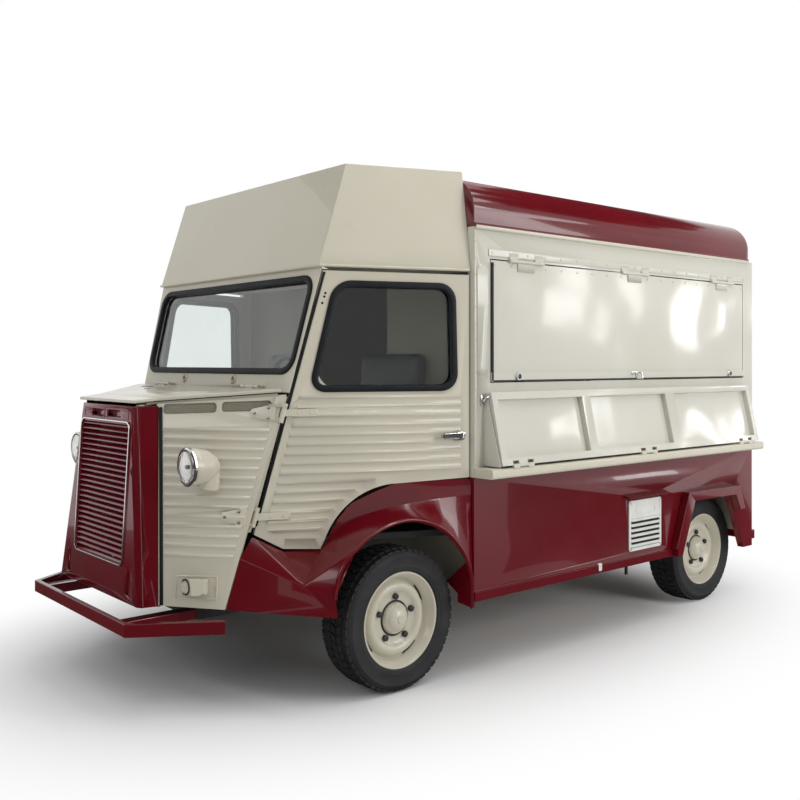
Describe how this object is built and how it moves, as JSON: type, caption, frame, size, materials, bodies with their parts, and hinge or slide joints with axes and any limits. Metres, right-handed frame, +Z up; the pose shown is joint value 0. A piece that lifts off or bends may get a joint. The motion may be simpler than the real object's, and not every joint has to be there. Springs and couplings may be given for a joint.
{
  "type": "ice cream truck",
  "caption": "Retro corrugated van with a flared snout, blank sign box over the cab, lift-up serving hatch and a fold-down counter above a belt ledge.",
  "frame": {"origin": "bottom centre of the bounding box, on the ground the tyres stand on", "axes": "+X towards the serving side, which is the vehicle's left; +Y towards the tail; +Z up"},
  "size_m": [2.238, 4, 2.332],
  "materials": {
    "black_plastic": "matte",
    "black_steel": "satin black",
    "burgundy_paint": "gloss burgundy",
    "cast_iron": "dull",
    "chrome": "polished",
    "cream_paint": "gloss cream",
    "floor_ply": "sealed",
    "glass": "clear",
    "lamp_glass": "clear",
    "red_plastic": "gloss",
    "rubber": "matte",
    "seat_cloth": "woven",
    "white_plastic": "satin"
  },
  "bodies": {
    "truck": {"belt_ledges": "cream_paint", "bright_trim": "chrome", "bulkhead": "cream_paint", "cab_floor": "floor_ply", "chassis_crossmembers": "black_steel", "chassis_rails": "black_steel", "dashboard": "black_plastic", "engine_block": "cast_iron", "front_axle": "black_steel", "front_bumper": "burgundy_paint", "front_wings": "burgundy_paint", "grille_cowl": "burgundy_paint", "grille_slats": "burgundy_paint", "lamp_housings": "cream_paint", "lamp_lenses": "lamp_glass", "load_floor": "floor_ply", "nose_sides": "cream_paint", "rear_arches": "burgundy_paint", "rear_axle": "black_steel", "rear_bumper": "burgundy_paint", "rear_frame": "cream_paint", "roof": "burgundy_paint", "scuttle_panel": "cream_paint", "seats": "seat_cloth", "side_lower_left": "burgundy_paint", "side_lower_right": "burgundy_paint", "side_upper_left": "cream_paint", "side_upper_right": "cream_paint", "side_vent": "white_plastic", "sign_box": "cream_paint", "steering_wheel": "black_plastic", "tail_lamps": "red_plastic", "windscreen_frame": "cream_paint", "windscreen_glass": "glass"},
    "door_left": {"door_left": "cream_paint", "door_left_glass": "glass", "door_left_handle": "chrome"},
    "door_right": {"door_right": "cream_paint", "door_right_glass": "glass", "door_right_handle": "chrome"},
    "bonnet": {"bonnet": "cream_paint"},
    "hatch": {"hatch": "cream_paint", "hatch_handle": "chrome"},
    "shelf": {"shelf": "cream_paint"},
    "rear_door": {"rear_door": "cream_paint", "rear_door_glass": "glass", "rear_door_handle": "chrome"},
    "steer_left": {"knuckle_left": "black_steel"},
    "steer_right": {"knuckle_right": "black_steel"},
    "wheel_front_left": {"rim_front_left": "cream_paint", "tyre_front_left": "rubber"},
    "wheel_front_right": {"rim_front_right": "cream_paint", "tyre_front_right": "rubber"},
    "wheel_rear_left": {"rim_rear_left": "cream_paint", "tyre_rear_left": "rubber"},
    "wheel_rear_right": {"rim_rear_right": "cream_paint", "tyre_rear_right": "rubber"}
  },
  "joints": [
    {"name": "door_left_swing", "type": "hinge", "parent": "truck", "child": "door_left", "pos_m": [0.68851, -1.37413, 1.236], "axis": [-0.0939, -0.2494, -0.9638], "range_deg": [0, 62]},
    {"name": "door_right_swing", "type": "hinge", "parent": "truck", "child": "door_right", "pos_m": [-0.68851, -1.37413, 1.236], "axis": [-0.0939, 0.2494, 0.9638], "range_deg": [0, 62]},
    {"name": "bonnet_lift", "type": "hinge", "parent": "truck", "child": "bonnet", "pos_m": [0, -1.37, 1.34222], "axis": [-1, 0, 0], "range_deg": [0, 55]},
    {"name": "hatch_lift", "type": "hinge", "parent": "truck", "child": "hatch", "pos_m": [1.012, 0.69, 1.928], "axis": [0, -1, 0], "range_deg": [0, 95]},
    {"name": "shelf_drop", "type": "hinge", "parent": "truck", "child": "shelf", "pos_m": [1.111, 0.672, 0.98], "axis": [0, 1, 0], "range_deg": [0, 102]},
    {"name": "rear_door_swing", "type": "hinge", "parent": "truck", "child": "rear_door", "pos_m": [0.418, 1.937, 1.202], "axis": [0, 0, -1], "range_deg": [0, 110]},
    {"name": "steer_left", "type": "hinge", "parent": "truck", "child": "steer_left", "pos_m": [0.74, -0.888, 0.316], "axis": [0, 0, 1], "range_deg": [-28, 28]},
    {"name": "steer_right", "type": "hinge", "parent": "truck", "child": "steer_right", "pos_m": [-0.74, -0.888, 0.316], "axis": [0, 0, 1], "range_deg": [-28, 28]},
    {"name": "spin_front_left", "type": "hinge", "parent": "steer_left", "child": "wheel_front_left", "pos_m": [0.81, -0.888, 0.316], "axis": [1, 0, 0], "continuous": true},
    {"name": "spin_front_right", "type": "hinge", "parent": "steer_right", "child": "wheel_front_right", "pos_m": [-0.81, -0.888, 0.316], "axis": [1, 0, 0], "continuous": true},
    {"name": "spin_rear_left", "type": "hinge", "parent": "truck", "child": "wheel_rear_left", "pos_m": [0.789, 1.572, 0.316], "axis": [1, 0, 0], "continuous": true},
    {"name": "spin_rear_right", "type": "hinge", "parent": "truck", "child": "wheel_rear_right", "pos_m": [-0.789, 1.572, 0.316], "axis": [1, 0, 0], "continuous": true}
  ],
  "couplings": [
    {"joint": "steer_right", "follows": "steer_left", "ratio": 1}
  ]
}
